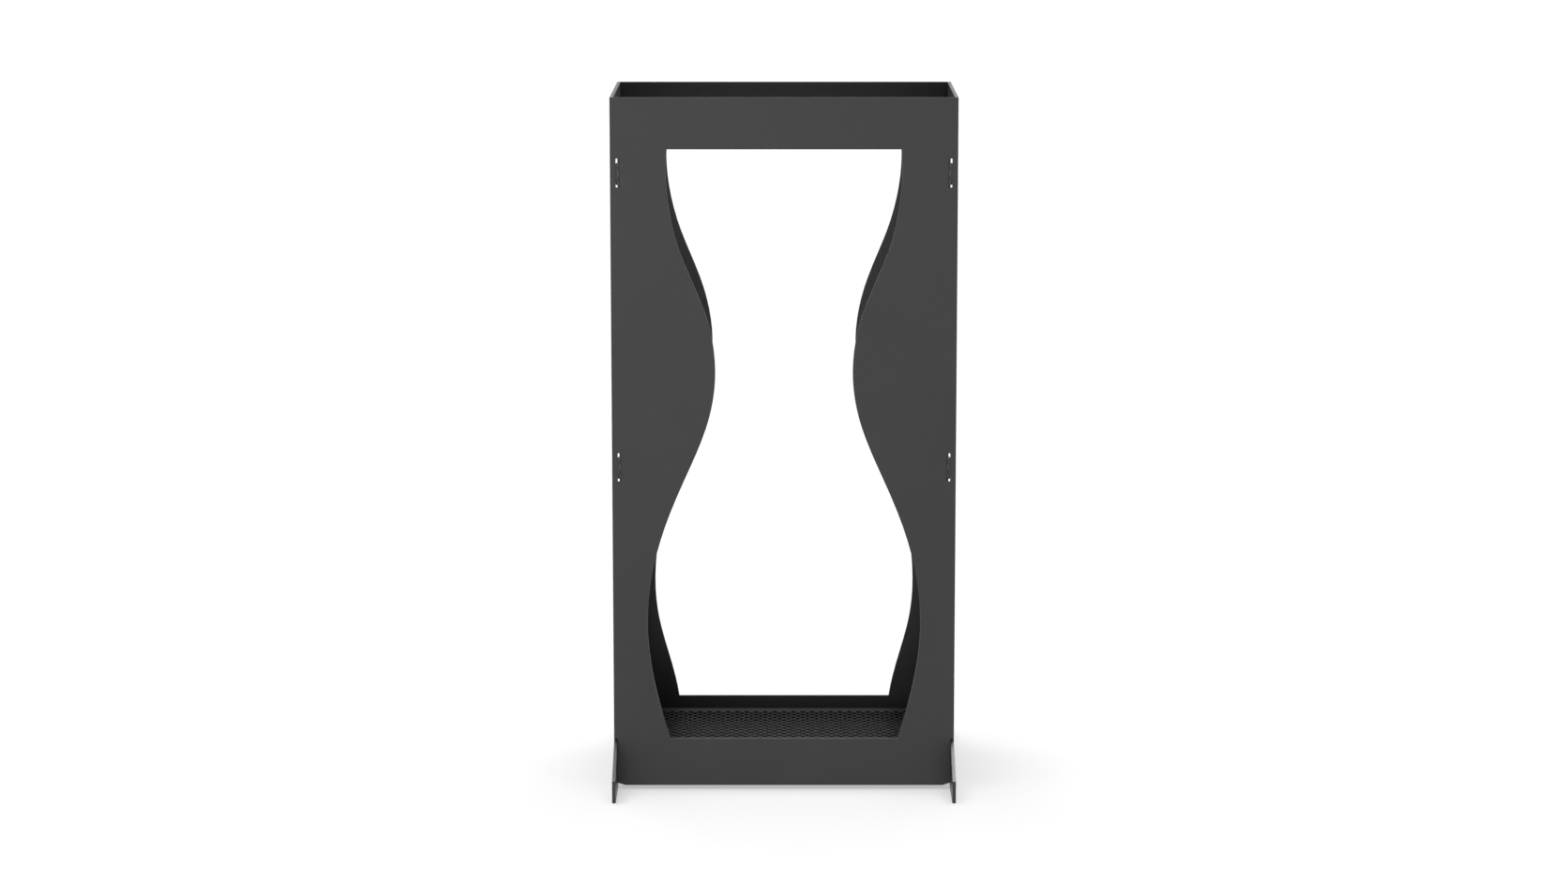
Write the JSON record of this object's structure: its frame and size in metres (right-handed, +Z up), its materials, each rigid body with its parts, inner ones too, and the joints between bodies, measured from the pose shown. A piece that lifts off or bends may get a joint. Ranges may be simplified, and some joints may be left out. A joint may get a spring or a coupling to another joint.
{
  "type": "fireplace screen",
  "caption": "Tall free-standing open-topped sheet-steel screen box with waisted windows front and back, open sides, wedge feet and a lift-out perforated tray.",
  "frame": {"origin": "centre of the footprint, on the floor under the foot pads", "axes": "+Z up, front panel towards -Y, +X to the right seen from the front"},
  "size_m": [0.49, 0.43, 1],
  "materials": {
    "powder_coat": "fine-textured matt anthracite powder coat",
    "tray_coat": "matt anthracite powder coat",
    "rivet_coat": "matt anthracite paint over steel rivets",
    "foot_rubber": "matt black rubber strip"
  },
  "bodies": {
    "frame": {"front_panel": "powder_coat", "back_panel": "powder_coat", "left_side_panel": "powder_coat", "right_side_panel": "powder_coat", "left_front_lower_hook": "powder_coat", "left_front_upper_hook": "powder_coat", "left_back_lower_hook": "powder_coat", "left_back_upper_hook": "powder_coat", "right_front_lower_hook": "powder_coat", "right_front_upper_hook": "powder_coat", "right_back_lower_hook": "powder_coat", "right_back_upper_hook": "powder_coat", "hook_spacers": "powder_coat", "hook_rivets": "rivet_coat", "bottom_plate": "powder_coat", "bottom_plate_rivets": "rivet_coat", "left_front_foot_pad": "foot_rubber", "left_back_foot_pad": "foot_rubber", "right_front_foot_pad": "foot_rubber", "right_back_foot_pad": "foot_rubber"},
    "tray": {"perforated_tray": "tray_coat", "tray_bars": "tray_coat"}
  },
  "joints": [
    {"name": "tray_lift", "type": "slide", "parent": "frame", "child": "tray", "axis": [0, 0, 1], "range_m": [0, 0.97]}
  ]
}
